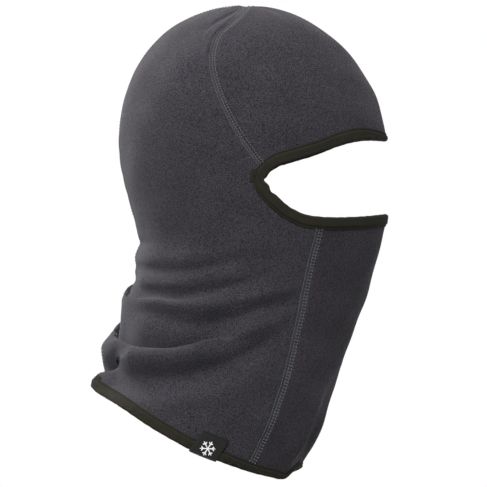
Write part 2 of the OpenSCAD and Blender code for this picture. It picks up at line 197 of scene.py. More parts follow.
# Soft ridges (positive) and grooves (negative) as a line, the height by degrees, and the half width above
# and below the line
WAVES = [
    ([(-60, -54), (0, -59), (40, -60), (64, -58), (85, -52)],
     [(-70, 0), (-40, .8), (0, 1.2), (20, 1), (50, .8), (74, .7), (90, 0)], 5, 5),
    ([(-60, -60), (0, -66.5), (40, -69), (53, -69), (64, -67.5), (85, -61)],
     [(-70, 0), (-40, -.8), (0, -.8), (15, -2.2), (50, -2), (74, -1), (88, 0)], 4, 4),
    ([(20, -78), (53, -78.5), (64, -76.5), (75, -74), (89, -70)],
     [(18, 0), (34, 1.2), (60, 1), (75, .8), (90, 0)], 4, 4),
    ([(-30, -87), (30, -87)],
     [(-26, 0), (-11, 1.5), (11, 1.5), (26, 0)], 6, 6),
    ([(-30, -106), (-8, -111.5), (0, -115), (30, -116)],
     [(-28, 0), (-14, 4.6), (-4, 4.2), (3, 2.4), (8, 2.2), (18, 0)], 9, 9),
    ([(-30, -130), (30, -130)],
     [(-26, 0), (-11, -2.6), (9, -2.6), (22, 0)], 6, 6),
    ([(-30, -48.75), (30, -48.75)],
     [(-40, 0), (-12, -1), (12, -1), (35, 0)], 3, 3),
    ([(-30, -74.5), (30, -74.5)],
     [(-40, 0), (-15, -2.5), (8, -2.5), (25, 0)], 4, 4),
    ([(10, -80), (25, -84), (40, -85.5), (53, -87), (64, -86), (75, -83), (89, -77), (100, -72)],
     [(6, 0), (18, -1.5), (30, -2.2), (64, -2.4), (75, -1.8), (89, -.9), (102, 0)], 4.2, 4.2),
    ([(20, -95), (40, -94), (53, -97), (64, -97), (75, -95), (89, -90.5), (98, -87), (108, -83),
      (118, -79)],
     [(18, 0), (34, 1.2), (50, 2), (75, 2.2), (89, 1.8), (98, 1.2), (108, .8), (120, 0)], 5, 5),
    ([(20, -103), (40, -102), (53, -106), (64, -109), (75, -108), (89, -104), (98, -98), (108, -94),
      (118, -90)],
     [(18, 0), (32, -1), (46, -2.6), (64, -3), (80, -2.8), (98, -2), (108, -1.2), (120, 0)], 5.5, 5.5),
    ([(60, -128), (75, -125), (89, -119), (98, -113.5), (108, -106), (118, -99)],
     [(58, 0), (72, .8), (86, 2.2), (98, 2), (108, 1.2), (120, 0)], 6, 6),
    ([(8, -147), (18, -149), (26, -151.5), (40, -153), (64, -153.5), (75, -150.5), (89, -142), (98, -134),
      (108, -123), (118, -115)],
     [(7, 0), (18, -7), (28, -9), (60, -8), (75, -6.5), (89, -4), (98, -3), (108, -2), (120, 0)], 7, 13),
    ([(20, -164), (60, -166), (90, -163), (110, -155)],
     [(16, 0), (32, .6), (60, 1), (78, 1), (98, .6), (112, 0)], 7, 7),
]
# The fleece folds inwards down the middle of the chin: how far out by degrees from the front, and how
# strongly by height
CHIN_CREASE = [(-42, 0), (-30, 2), (-27, 1.5), (-20, -5), (-10, -9), (0, -6), (8, 0), (14, 2), (25, 1),
               (42, 0)]
CHIN_CREASE_STRENGTH = [(-224, .15), (-216, .25), (-208, .7), (-198, 1), (-175, .7), (-155, .3), (-140, 0)]
# A pucker beside the crown on the right: its ridge and its groove, as (degrees from the front, height)
PUCKER_RIDGE = [(108, 127.5), (115, 126), (120.4, 123.8), (124.8, 120.5), (128, 115.5)]
PUCKER_GROOVE = [(103.6, 124.5), (111, 120.4), (117, 116), (121, 111.7)]
PUCKER_STRENGTH = [(98, 0), (107, 1), (118, 1), (130, 0)]
SEAM_DIP, SEAM_SWELL = 0.7, 0.35
# How fully each seam draws the fleece in, by height: it ends under the tapes
FOREHEAD_DIP = [(8, 0), (20, 1)]
CHIN_DIP = [(-209, 0), (-200, 1), (-47, 1), (-38, 0)]
BACK_DIP = [(-151, 0), (-143, 1)]
DEGREE = math.pi / 180
# Millimetres round the nape to a degree
NAPE_PER_DEGREE = 1.25
# Reach from the crown's middle in which the seams there hold the fleece level
CROWN_REACH = 6


def bump(distance, half):
    return np.exp(-(distance / half) ** 2)


def seam_dip(distance):
    """Height of the fleece beside a seam, which is drawn in along its stitches."""
    return SEAM_SWELL * bump(np.abs(distance) - 5, 2.2) - SEAM_DIP * bump(distance, 2.6)


def ripple(angle, z):
    """The slight unevenness that soft cloth has all over."""
    run = angle * NAPE_PER_DEGREE
    return (0.4 * np.sin(run / 7.7 + z / 16 + 0.6) * np.sin(z / 6.9 - run / 19 + 2.2)
            + 0.3 * np.sin(run / 12.5 - z / 9.4 + 4.0) * np.sin(z / 15 + run / 33))


def relief(angle, z, degree, steep):
    """How far the fleece is out from the plain hood and lifted along it. degree and steep are the
    hood's millimetres to a degree and to a millimetre of height."""
    behind = (angle + 360) % 360 - 180
    out = ripple(angle, z)
    lift = np.zeros_like(out)
    for roll in ROLLS:
        depth = within(roll["line"], behind) - z
        strength = within(roll["strength"], behind)
        out += strength * within(roll["out"], depth)
        lift += strength * within(roll["lift"], depth)
    for line, height, half_above, half_below in WAVES:
        above = z - within(line, behind)
        out += within(height, behind) * bump(above, np.where(above > 0, half_above, half_below))
    front = (angle + 180) % 360 - 180
    out += within(CHIN_CREASE, front) * within(CHIN_CREASE_STRENGTH, z)
    for line, size, half in ((PUCKER_RIDGE, 0.8, 5), (PUCKER_GROOVE, -1.2, 6.5)):
        out += within(PUCKER_STRENGTH, -front) * size * bump((z - within(line, -front)) * steep, half)
    beside = np.abs(front)
    forehead = (beside - at_height(FOREHEAD_SEAM, z)[..., 0]) * degree
    chin = (beside - at_height(CHIN_SEAM, z)[..., 0]) * degree
    out += (seam_dip(forehead) * within(FOREHEAD_DIP, z) + seam_dip(chin) * within(CHIN_DIP, z)
            + seam_dip((180 - beside) * degree) * within(BACK_DIP, z))
    near_crown = bump(degree / DEGREE, CROWN_REACH)
    return mix(out, -SEAM_DIP, near_crown), lift * (1 - near_crown)


def skin(angle, z):
    """A point of the fleece's outer face."""
    dz = np.minimum(0.4, (CROWN - z) / 2)
    turn = hood(angle + 0.5, z) - hood(angle - 0.5, z)
    climb = (hood(angle, z + dz) - hood(angle, z - dz)) / (2 * dz[..., None])
    degree = np.linalg.norm(turn, axis=-1)
    steep = np.linalg.norm(climb, axis=-1)
    out, lift = relief(angle, z, degree, steep)
    return hood(angle, z) + out[..., None] * unit(np.cross(turn, climb)) + lift[..., None] * unit(climb)


def surface(chart):
    """The fleece at each (angle, height): its places, its outward directions, and its slopes."""
    a, z = chart[..., 0], chart[..., 1]
    dz = np.minimum(0.3, (CROWN - z) / 3)
    by_angle = skin(a + 0.25, z) - skin(a - 0.25, z)
    by_height = (skin(a, z + dz) - skin(a, z - dz)) / (2 * dz[..., None])
    return skin(a, z), unit(np.cross(by_angle, by_height)), by_angle * 2, by_height


# ---- meshes ----

def volume(points, faces):
    """About six times the volume inside a set of faces, negative where they are inside out."""
    p = points[faces[:, :3]]
    total = np.einsum("ij,ij->i", p[:, 0], np.cross(p[:, 1], p[:, 2])).sum()
    if faces.shape[1] == 4:
        p = points[faces[:, [0, 2, 3]]]
        total += np.einsum("ij,ij->i", p[:, 0], np.cross(p[:, 1], p[:, 2])).sum()
    return total


def placed(name, data):
    obj = bpy.data.objects.new(name, data)
    bpy.context.scene.collection.objects.link(obj)
    return obj


def piece(name, points, face_sets, material, slot, replaces, body="hood", uv=None):
    """A smooth mesh from millimetre points and arrays of faces, standing for CAD nodes."""
    if sum(volume(points, f) for f in face_sets) < 0:
        face_sets = [f[:, ::-1] for f in face_sets]
    corners = np.concatenate([f.ravel() for f in face_sets])
    sizes = np.concatenate([np.full(len(f), f.shape[1]) for f in face_sets])
    mesh = bpy.data.meshes.new(name)
    mesh.vertices.add(len(points))
    mesh.vertices.foreach_set("co", (points * MM).ravel())
    mesh.loops.add(len(corners))
    mesh.loops.foreach_set("vertex_index", corners)
    mesh.polygons.add(len(sizes))
    mesh.polygons.foreach_set("loop_start", np.concatenate([[0], np.cumsum(sizes)[:-1]]))
    mesh.polygons.foreach_set("use_smooth", np.ones(len(sizes), bool))
    if uv is not None:
        layer = mesh.uv_layers.new(name="UVMap")
        layer.data.foreach_set("uv", np.asarray(uv, float)[corners].ravel())
    mesh.update(calc_edges=True)
    mesh.validate()
    mesh.materials.append(material)
    obj = placed(name, mesh)
    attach(obj, body)
    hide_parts(*replaces)
    return obj


def quads(rows, columns, loop_rows=False, loop_columns=False):
    """Faces of a grid of points, closed on itself either way where asked."""
    row_steps, column_steps = rows - (not loop_rows), columns - (not loop_columns)
    j, i = np.meshgrid(np.arange(row_steps), np.arange(column_steps), indexing="ij")
    k, m = (j + 1) % rows, (i + 1) % columns
    return np.stack([j * columns + i, j * columns + m, k * columns + m, k * columns + i], -1).reshape(-1, 4)


def shell(outer, inner):
    """Points and faces of a sheet between two grids of points."""
    rows, columns = outer.shape[:2]
    count = rows * columns
    grid = np.arange(count).reshape(rows, columns)
    edge = np.concatenate([grid[0, :-1], grid[:-1, -1], grid[-1, :0:-1], grid[:0:-1, 0]])
    following = np.roll(edge, -1)
    face = quads(rows, columns)
    rim = np.stack([following, edge, edge + count, following + count], -1)
    return (np.concatenate([outer.reshape(-1, 3), inner.reshape(-1, 3)]),
            [np.concatenate([face, face[:, ::-1] + count, rim])])


def joined(parts):
    """One set of points and faces from several."""
    points, face_sets, start = [], {}, 0
    for some, sets in parts:
        for faces in sets:
            face_sets.setdefault(faces.shape[1], []).append(faces + start)
        points.append(some)
        start += len(some)
    return np.concatenate(points), [np.concatenate(f) for f in face_sets.values()]


def tube(centres, radius, up, sides=6, squash=1.0):
    """A closed round thread along centres. radius is one number or one a centre."""
    run = unit(np.gradient(centres, axis=0))
    across = unit(np.cross(run, up))
    over = np.cross(across, run)
    turn = np.arange(sides) * 2 * math.pi / sides
    radius = np.broadcast_to(radius, len(centres))[:, None, None]
    rings = (centres[:, None] + radius * (np.cos(turn)[None, :, None] * across[:, None]
                                          + squash * np.sin(turn)[None, :, None] * over[:, None]))
    count = len(centres) * sides
    points = np.concatenate([rings.reshape(-1, 3), centres[:1], centres[-1:]])
    i = np.arange(sides)
    k = (i + 1) % sides
    last = count - sides
    caps = np.concatenate([np.stack([k, i, np.full(sides, count)], -1),
                           np.stack([last + i, last + k, np.full(sides, count + 1)], -1)])
    return points, [quads(len(centres), sides, loop_columns=True), caps]


# ---- lines that tape and thread follow ----

def heading(places, looped):
    """Unit directions along a line of places."""
    if looped:
        return unit(np.roll(places, -1, 0) - np.roll(places, 1, 0))
    return unit(np.gradient(places, axis=0))


class Run:
    """A line on the fleece by its length in millimetres: places, outward and sideways directions."""

    def __init__(self, places, outward, looped=False):
        sideways = unit(np.cross(heading(places, looped), outward))
        rows = [places, outward, sideways]
        if looped:
            rows = [np.concatenate([r, r[:1]]) for r in rows]
        steps = np.linalg.norm(np.diff(rows[0], axis=0), axis=1)
        self.rows = rows
        self.marks = np.concatenate([[0], np.cumsum(steps)])
        self.length = self.marks[-1]

    def at(self, s):
        place, outward, sideways = (np.stack([np.interp(s, self.marks, r[:, i]) for i in range(3)], -1)
                                    for r in self.rows)
        return place, unit(outward), unit(sideways)


def stitches(run, pitch, length, radius, side, height, arch, start=0.0, sides=6, rings=6):
    """Short raised stitches in a row beside a run, as points and faces."""
    count = max(1, int((run.length - 2 * start) / pitch))
    middles = start + (np.arange(count) + 0.5) * (run.length - 2 * start) / count
    share = np.linspace(0, 1, rings)
    s = middles[:, None] + (share[None] - 0.5) * length
    place, outward, sideways = run.at(s)
    lift = height + arch * np.sin(math.pi * share)
    centre = place + sideways * side + outward * lift[None, :, None]
    ahead = unit(np.gradient(centre, axis=1))
    across = unit(np.cross(ahead, outward))
    over = np.cross(across, ahead)
    size = radius * (0.45 + 0.55 * np.sin(math.pi * share) ** 0.5)
    turn = np.arange(sides) * 2 * math.pi / sides
    ring = (centre[:, :, None] + size[None, :, None, None]
            * (np.cos(turn)[:, None] * across[:, :, None] + np.sin(turn)[:, None] * over[:, :, None]))
    one = quads(rings, sides, loop_columns=True)
    block = rings * sides
    starts = (np.arange(count) * block)[:, None, None]
    ends = np.array([np.arange(sides)[::-1], block - sides + np.arange(sides)])
    faces = (one[None] + starts).reshape(-1, 4)
    caps = (ends[None] + starts).reshape(-1, sides)
    return ring.reshape(-1, 3), [faces, caps]


def zigzag(run, pitch, half_width, height_at, radius, start, sides=5):
    """One thread that crosses to and fro over a seam."""
    crossings = int((run.length - 2 * start) / pitch) * 2
    steps = 5
    u = np.arange(crossings * steps + 1) / steps
    swing = np.abs((u % 2) - 1) * 2 - 1
    swing = np.sign(swing) * np.abs(swing) ** 0.8
    s = start + u * (run.length - 2 * start) / crossings
    place, outward, sideways = run.at(s)
    side = swing * half_width
    centres = place + sideways * side[:, None] + outward * height_at(side)[:, None]
    return tube(centres, radius, outward, sides)


def slide(chart, ahead, distance):
    """Moves points of a line across the fleece, square to the way ahead."""
    for _ in range(2):
        _, outward, by_angle, by_height = surface(chart)
        want = unit(np.cross(ahead, outward)) * (distance / 2)
        aa = (by_angle * by_angle).sum(-1)
        ah = (by_angle * by_height).sum(-1)
        hh = (by_height * by_height).sum(-1)
        along_a = (by_angle * want).sum(-1)
        along_h = (by_height * want).sum(-1)
        area = np.maximum(aa * hh - ah ** 2, 1e-6)
        step = np.stack([hh * along_a - ah * along_h, aa * along_h - ah * along_a], -1)
        chart = chart + step / area[:, None]
    return chart


def strip(path, width, looped, steps=9):
    """A strip of fleece beside a path, as a function that gives a place for each point of the path."""
    places, outward, _, _ = surface(path)
    ahead = heading(places, looped)
    sideways = unit(np.cross(ahead, outward))

    def column(values):
        return np.broadcast_to(values, len(path))[:, None]

    width = column(width)
    all_places, all_outward, chart = [places], [outward], path
    for _ in range(steps):
        chart = slide(chart, ahead, width / steps)
        place, out, _, _ = surface(chart)
        all_places.append(place)
        all_outward.append(out)
    all_places, all_outward = np.array(all_places), np.array(all_outward)

    def at(share, height, past=0.0):
        """share is of the way across the strip, height is off the fleece and past is out beyond the path.
        Each is one number or one a point of the path."""
        k = np.clip(share * steps, 0, steps - 1e-6)
        i = np.floor(k).astype(int) if np.ndim(k) else int(k)
        n = np.arange(len(path))
        t = column(k - i)
        place = mix(all_places[i, n], all_places[i + 1, n], t)
        out = unit(mix(all_outward[i, n], all_outward[i + 1, n], t))
        return place + out * column(height) - sideways * column(past)

    return at


# ---- materials ----

def linear(level):
    share = level / 255
    return share / 12.92 if share <= 0.04045 else ((share + 0.055) / 1.055) ** 2.4


def srgb(r, g, b):
    return [linear(r), linear(g), linear(b), 1]


def node_tree(name):
    material = bpy.data.materials.new(name)
    material.use_nodes = True
    tree = material.node_tree
    return material, tree, tree.nodes["Principled BSDF"]


def coordinates(tree, kind):
    return tree.nodes.new("ShaderNodeTexCoord").outputs[kind]


def settle(node, values):
    """Sets a node's own sockets."""
    for name, value in values.items():
        node.inputs[name].default_value = value


def noise(tree, coords, scale, detail, roughness=0.6):
    texture = tree.nodes.new("ShaderNodeTexNoise")
    settle(texture, {"Scale": scale, "Detail": detail, "Roughness": roughness})
    tree.links.new(coords, texture.inputs["Vector"])
    return texture.outputs["Fac"]


def ramp(tree, value, stops):
    node = tree.nodes.new("ShaderNodeValToRGB")
    for i, (at, colour) in enumerate(stops):
        element = node.color_ramp.elements[i] if i < 2 else node.color_ramp.elements.new(at)
        element.position = at
        element.color = colour
    tree.links.new(value, node.inputs["Fac"])
    return node.outputs["Color"]


def blend(tree, kind, factor, a, b):
    node = tree.nodes.new("ShaderNodeMixRGB")
    node.blend_type = kind
    node.inputs["Fac"].default_value = factor
    tree.links.new(a, node.inputs["Color1"])
    tree.links.new(b, node.inputs["Color2"])
    return node.outputs["Color"]


def add_bump(tree, height, distance, strength, before=None):
    node = tree.nodes.new("ShaderNodeBump")
    settle(node, {"Distance": distance, "Strength": strength})
    tree.links.new(height, node.inputs["Height"])
    if before is not None:
        tree.links.new(before, node.inputs["Normal"])
    return node.outputs["Normal"]


def grey(level):
    return (level, level, level, 1)


def fleece_material(name, dark, light, sheen, grain):
    """Brushed fleece: a nap of fine clumps over soft, slightly lighter and darker patches."""
    material, tree, shader = node_tree(name)
    coords = coordinates(tree, "Object")
    clumps = noise(tree, coords, 1400, 2.0, 0.6)
    patches = noise(tree, coords, 42, 4.0, 0.55)
    fibres = noise(tree, coords, 2600, 2.0)
    colour = ramp(tree, clumps, [(0.38, dark), (0.62, light)])
    shade = ramp(tree, patches, [(0.3, grey(0.8)), (0.7, grey(1.0))])
    tree.links.new(blend(tree, "MULTIPLY", 1.0, colour, shade), shader.inputs["Base Color"])
    first = add_bump(tree, clumps, 0.0009, grain)
    tree.links.new(add_bump(tree, fibres, 0.0003, 0.5, first), shader.inputs["Normal"])
    settle(shader, {"Roughness": 0.95, "Specular IOR Level": 0.15, "Sheen Weight": sheen,
                    "Sheen Roughness": 0.45, "Sheen Tint": (0.95, 0.92, 1.0, 1)})
    return material


def woven_material(name, dark, light, along_scale, across_scale, roughness, sheen, depth):
    """Tape or ribbon woven of fine ribs, from UVs that run along and across it."""
    material, tree, shader = node_tree(name)
    uv = coordinates(tree, "UV")
    waves = []
    for direction, scale in (("X", along_scale), ("Y", across_scale)):
        wave = tree.nodes.new("ShaderNodeTexWave")
        wave.bands_direction = direction
        settle(wave, {"Scale": scale, "Distortion": 1.2, "Detail": 2})
        tree.links.new(uv, wave.inputs["Vector"])
        waves.append(wave.outputs["Color"])
    weave = blend(tree, "MULTIPLY", 0.75, *waves)
    coords = coordinates(tree, "Object")
    fuzz = noise(tree, coords, 160, 5.0, 0.7)
    colour = ramp(tree, weave, [(0.0, dark), (1.0, light)])
    shade = ramp(tree, fuzz, [(0.3, grey(0.72)), (0.7, grey(1.0))])
    tree.links.new(blend(tree, "MULTIPLY", 1.0, colour, shade), shader.inputs["Base Color"])
    tree.links.new(add_bump(tree, weave, depth, 0.6), shader.inputs["Normal"])
    settle(shader, {"Roughness": roughness, "Specular IOR Level": 0.12, "Sheen Weight": sheen,
                    "Sheen Roughness": 0.5})
    return material


def thread_material(name, dark, light, sheen=0.1):
    """Spun thread: bands of ply across its length, a little fuzzy."""
    material, tree, shader = node_tree(name)
    coords = coordinates(tree, "Object")
    ply = noise(tree, coords, 1500, 3.0, 0.7)
    tree.links.new(ramp(tree, ply, [(0.3, dark), (0.7, light)]), shader.inputs["Base Color"])
    tree.links.new(add_bump(tree, ply, 0.0002, 0.6), shader.inputs["Normal"])
    settle(shader, {"Roughness": 0.75, "Sheen Weight": sheen, "Specular IOR Level": 0.2})
    return material


FLEECE_SIDE = fleece_material("fleece_brushed", srgb(19, 18, 21), srgb(62, 60, 66), 0.1, 0.8)
FLEECE_SMOOTH = fleece_material("fleece_smooth", srgb(20, 18, 22), srgb(61, 58, 64), 0.06, 0.6)
TAPE_MATERIAL = woven_material("binding_tape", srgb(28, 27, 21), srgb(49, 47, 38), 900, 700, 0.95, 0.0,
                               0.0002)
THREAD_GREY = thread_material("thread_grey", srgb(76, 79, 82), srgb(122, 126, 129))
THREAD_COVER = thread_material("thread_cover", srgb(56, 58, 60), srgb(96, 99, 101))
THREAD_DARK = thread_material("thread_dark", srgb(12, 12, 9), srgb(26, 25, 20), 0.0)
THREAD_WHITE = thread_material("thread_white", srgb(196, 196, 198), srgb(238, 238, 240))
RIBBON = woven_material("label_ribbon", srgb(9, 9, 9), srgb(27, 27, 26), 1100, 1100, 0.6, 0.1, 0.0001)
SATIN = woven_material("care_satin", srgb(208, 208, 206), srgb(242, 242, 240), 500, 1800, 0.45, 0.2, 0.0001)

# ---- fleece panels ----

DOME_ROWS, REAR_ROWS, NECK_ROWS = 130, 36, 210
SIDE_COLUMNS, FRONT_COLUMNS = 120, 150
DOME_TURN = 85 * DEGREE
# Each panel's flat size as cut and the area of its face, in metres
SIDE_CUT = (0.215, 0.37), 0.0485
FOREHEAD_CUT = (0.26, 0.205), 0.0325
FACE_CUT = (0.175, 0.205), 0.0302


def dome_height(u, foot):
    """Heights from the crown down to a foot, close together at the crown."""
    top = CROWN - 0.0005
    return top - (top - foot) * (1 - np.cos(DOME_TURN * u)) / (1 - math.cos(DOME_TURN))


def seam_at(u):
    height = dome_height(u, FOREHEAD_SEAM[-1][1])
    return at_height(FOREHEAD_SEAM, height)[..., 0], height


def chin_at(u):
    point = at_height(CHIN_SEAM, mix(CHIN_SEAM[0][1], CHIN_SEAM[-1][1], u))
    return point[..., 0], point[..., 1]


def side_chart(sign):
    """Grid of (angle, height) for a side panel; sign is -1 on the wearer's right."""
    dome = np.arange(DOME_ROWS) / DOME_ROWS
    rear = np.arange(REAR_ROWS) / REAR_ROWS
    neck = np.arange(NECK_ROWS + 1) / NECK_ROWS
    rear_edge = along(OPENING_REAR, rear)
    parts = [(*seam_at(dome), dome_height(dome, BACK_AT_BROW), 0 * dome),
             (rear_edge[:, 0], rear_edge[:, 1], mix(BACK_AT_BROW, BACK_AT_LIP, rear), 0 * rear),
             (*chin_at(neck), mix(BACK_AT_LIP, smooth(HEM_EDGE, 180), neck), neck)]
    angle, front, back, share = (np.concatenate(column)[:, None] for column in zip(*parts))
    t = np.linspace(0, 1, SIDE_COLUMNS + 1)[None]
    droop = smooth(HEM_EDGE, mix(angle[-1], 180, t)) - mix(front[-1], back[-1], t)
    height = mix(front, back, t) + droop * share ** 3
    return np.stack([sign * mix(angle, 180, t), height], -1)


def sag(middle, end, v):
    """Heights across a front panel's row, from its middle to its ends."""
    return mix(middle, end, v ** 2)


def above_sag(edge, v):
    """How far a panel's own edge is above such a row."""
    last = edge[-1]
    return smooth(edge, np.abs(v) * last[0]) - sag(smooth(edge, 0), last[1], v)


V = np.linspace(-1, 1, FRONT_COLUMNS + 1)[None]


def forehead_chart():
    u = np.linspace(0, 1, DOME_ROWS + 1)[:, None]
    angle, end = seam_at(u)
    middle = dome_height(u, smooth(BROW_EDGE, 0))
    return np.stack([V * angle, sag(middle, end, V) + above_sag(BROW_EDGE, V) * u ** 3], -1)


def face_chart():
    u = np.linspace(0, 1, NECK_ROWS + 1)[:, None]
    angle, end = chin_at(u)
    middle = mix(smooth(LIP_EDGE, 0), smooth(HEM_EDGE, 0), u)
    hem_front = [p for p in HEM_EDGE if p[0] <= CHIN_SEAM[-1][0]]
    height = (sag(middle, end, V) + above_sag(LIP_EDGE, V) * (1 - u) ** 3 + above_sag(hem_front, V) * u ** 3)
    return np.stack([V * angle, height], -1)


def fleece_panel(name, chart, material, slot, node, flat, area):
    places, outward, _, _ = surface(chart)
    panel = piece(name, *shell(places, places - FLEECE * outward), material, slot, [node])


fleece_panel("fleece_side_right", side_chart(-1), FLEECE_SIDE, "fleece", "side_panel_right", *SIDE_CUT)
fleece_panel("fleece_side_left", side_chart(1), FLEECE_SIDE, "fleece", "side_panel_left", *SIDE_CUT)
fleece_panel("fleece_forehead", forehead_chart(), FLEECE_SMOOTH, "fleece_smooth", "forehead_panel",
             *FOREHEAD_CUT)
fleece_panel("fleece_face", face_chart(), FLEECE_SMOOTH, "fleece_smooth", "face_panel", *FACE_CUT)

# ---- bindings ----

HALF_OPENING = BROW_EDGE[1:] + OPENING_REAR[1:6] + LIP_EDGE[5:1:-1]
OPENING_LOOP = HALF_OPENING + [LIP_EDGE[1]] + [(-a, z) for a, z in HALF_OPENING[:0:-1]]
TAPE_RINGS = 440
FACE_WIDTH, HEM_WIDTH = 7.8, 7.3
# The opening's tape is narrower over the brow, by degrees from the front
BROW_WIDTH = [(0, 4.4), (10, 4.8), (25, 6.4), (38, 7.8)]
# The opening's tape is pinched where it bends round the rear corner, as (height, how far it bulges)
CORNER_PINCH = [(-21, 0), (-15, .3), (-10, -.5), (-6, .8), (-1.5, -1.4), (2.5, .5), (6, 0)]
# The hem's tape is narrower under the chin
CHIN_HEM_WIDTH = [(8, 3.2), (22, 3.8), (36, 5.2), (50, 5.6), (75, 7.0), (90, 7.3)]


def opening_path(u):
    return wrapped(OPENING_LOOP, u % 1) * np.array([-1, 1])


def hem_path(angle):
    return np.stack([angle, smooth(HEM_EDGE, np.abs(angle))], -1)


def even(path_of, count, low, high):
    """Parameters that step evenly along a closed path."""
    u = np.linspace(low, high, 1600)
    p = path_of(u)
    places = hood(p[:, 0], p[:, 1])
    marks = np.concatenate([[0], np.cumsum(np.linalg.norm(np.diff(places, axis=0), axis=1))])
    return np.interp(np.arange(count) / count * marks[-1], marks, u)


def wander(s, seed, *waves):
    """A sum of sines along a length, the same at both ends of the loop."""
    rng = np.random.default_rng(seed)
    return sum(size * np.sin(2 * math.pi * (s * turns + rng.random())) for turns, size in waves)


TOP = 0.35 + TAPE
# The outer flap of the folded tape, as (mm in from its stitched edge, height off the fleece)
OUTER_FLAP = [(0.1, 0.04), (-0.1, 0.2), (0, 0.45), (0.35, 0.62), (0.8, 0.62), (1.15, 0.45), (1.4, 0.36),
              (1.7, 0.52), (2.1, 0.95), (2.6, 1.24), (3.3, 1.32), (4.4, 1.22), (5.6, 1.12), (6.8, 1.12)]
# How far the fold stands past the fleece's edge
ROLL_PAST = 1.6
ROLL_STEPS = 11
# The section's point along which the weave's length is measured
WEAVE_POINT = 8


def tape_mesh(name, path, width, crumple, node):
    """A tape folded over an edge. crumple moves its folded edge in and out, one number a ring."""
    at = strip(path, width, True)
    width = np.broadcast_to(width, len(path))
    n = len(path)
    share = np.arange(n) / n
    fine = wander(share, 3, (61, .05), (97, .05), (143, .03))
    section, down = [], []
    for inset, height in OUTER_FLAP:
        body = min(1, max(0, inset / 2))
        section.append(at(1 - inset / width, height + body * (fine + 0.18 * crumple)))
        down.append(width - inset)
    bottom = -FLEECE - TOP
    middle, half = (TOP + bottom) / 2, (TOP - bottom) / 2 + 0.06
    for turn in np.linspace(90, -90, ROLL_STEPS) * DEGREE:
        past = ROLL_PAST * math.cos(turn) * (1 + 0.15 * fine) + crumple * math.cos(turn) * 0.9
        section.append(at(0, middle + half * math.sin(turn) + 0.2 * crumple * math.cos(turn), past))
        down.append(np.full(n, -ROLL_PAST * turn))
    # the inner flap, and back along its inner face to the fleece's edge
    for inset in (5.5, 3, 1.2, 0.3, 0):
        section.append(at(1 - inset / width, bottom - 0.04 * (inset > 1)))
        down.append(inset - width - 5)
    for inset in (0.05, 1.5, 5):
        section.append(at(1 - inset / width, -FLEECE - 0.06))
        down.append(inset - width - 5)
    # round the fleece's edge, and out under the outer flap
    for turn in np.linspace(-90, 90, 7) * DEGREE:
        section.append(at(0, -FLEECE / 2 + (FLEECE / 2 + 0.08) * math.sin(turn), 0.4 * math.cos(turn)))
        down.append(np.full(n, 3 * turn))
    for inset in (5, 1.5):
        section.append(at(1 - inset / width, 0.06))
        down.append(width - inset)
    rings = np.array(section).transpose(1, 0, 2)
    run = np.concatenate([[0], np.cumsum(np.linalg.norm(np.diff(rings[:, WEAVE_POINT], axis=0), axis=1))])
    uv = np.stack([np.broadcast_to(run[:, None], rings.shape[:2]), np.array(down).T], -1) * MM
    piece(name, rings.reshape(-1, 3), [quads(n, rings.shape[1], True, True)], TAPE_MATERIAL, "tape", [node],
          uv=uv.reshape(-1, 2))
    return at


face_share = even(opening_path, TAPE_RINGS, 0, 1)
face_path = opening_path(face_share)
brow_width = within(BROW_WIDTH, np.abs(face_path[:, 0]))
face_width = np.where(face_path[:, 1] > 0, brow_width, FACE_WIDTH)
ring_share = np.arange(TAPE_RINGS) / TAPE_RINGS
corner = bump(np.abs(face_path[:, 0]) - 86, 9) * bump(face_path[:, 1] + 6, 14)
face_crumple = ((0.12 + 0.35 * corner) * wander(ring_share, 11, (58, .55), (83, .45), (37, .35))
                + np.where(np.abs(face_path[:, 0]) > 70, within(CORNER_PINCH, face_path[:, 1]), 0))
face_tape_at = tape_mesh("tape_face_opening", face_path, face_width, face_crumple, "face_binding")

hem_path_points = hem_path(even(hem_path, TAPE_RINGS, 180, -180))
hem_width = within(CHIN_HEM_WIDTH, np.abs(hem_path_points[:, 0]))
hem_crumple = 0.12 * wander(ring_share, 12, (41, .6), (67, .5))
hem_tape_at = tape_mesh("tape_hem", hem_path_points, hem_width, hem_crumple, "hem_binding")

TOPSTITCH_INSET = 1.4
# Pitch, length and radius of its stitches
TOPSTITCH = (3.1, 2.6, 0.22)
TOPSTITCH_ARCH = 0.16
OVER_FLAP, UNDER_FLAP = 0.42, -FLEECE - TOP - 0.05


def topstitch(name, at, width, node, height, arch):
    share = 1 - TOPSTITCH_INSET / width
    places = at(share, height)
    outward = unit(at(share, height + 1) - places)
    run = Run(places, outward, True)
    piece(name, *stitches(run, *TOPSTITCH, 0, 0, arch), THREAD_DARK, "dark_thread", [node])


for edge, at, width in (("face", face_tape_at, face_width), ("hem", hem_tape_at, hem_width)):
    topstitch(f"stitch_{edge}_outer", at, width, f"{edge}_binding_topstitch", OVER_FLAP, TOPSTITCH_ARCH)
    topstitch(f"stitch_{edge}_inner", at, width, f"{edge}_binding_underthread", UNDER_FLAP, -TOPSTITCH_ARCH)

# A tape's tail: how far it laps under the tape, its width, and its section as (share of that, height)
TAIL_LAP, TAIL_WIDTH = 0.6, 3.2
TAIL_SECTION = [(0, .25), (0, .5), (0.3, .62), (0.62, .6), (0.9, .5), (1.0, .28), (1.0, .02), (0.5, 0),
                (0, 0)]
TAIL_REACH = 3.0
# Its middle and half length: on the opening by share of the loop, on the hem by degrees
FACE_TAIL, FACE_TAIL_HALF = 0.24, 0.0095
HEM_TAIL, HEM_TAIL_HALF = -172, 2.6


